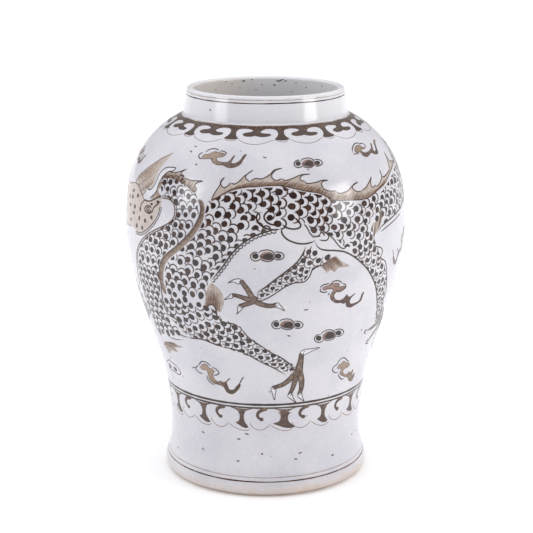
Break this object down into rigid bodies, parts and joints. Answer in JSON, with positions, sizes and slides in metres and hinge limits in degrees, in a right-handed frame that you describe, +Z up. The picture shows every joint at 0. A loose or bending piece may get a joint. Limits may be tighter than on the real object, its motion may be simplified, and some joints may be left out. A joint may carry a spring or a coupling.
{
  "type": "glazed stoneware storage jar",
  "caption": "Tall high-shouldered glazed stoneware jar with an open upright neck, a narrow waist and a flared foot, painted in iron brown.",
  "frame": {"origin": "centre of the standing ring, on the ground, on the jar's axis", "axes": "+Z up along the jar's axis; -Y towards the viewer of the picture, +X to the viewer's right"},
  "size_m": [0.3562, 0.3562, 0.5],
  "materials": {
    "fired_clay": "bare fired stoneware, fine grained, warm tan",
    "fired_slip": "fired joining slip, fine and dense",
    "clear_glaze": "clear glossy glaze over a cool white body, with iron-brown painting under it"
  },
  "bodies": {
    "root": {"turned_foot": "fired_clay", "lower_wall": "fired_clay", "shoulder_wall": "fired_clay", "neck_collar": "fired_clay", "waist_slip": "fired_slip", "belly_slip": "fired_slip", "neck_slip": "fired_slip", "outer_glaze": "clear_glaze", "inner_glaze": "clear_glaze"}
  },
  "joints": []
}
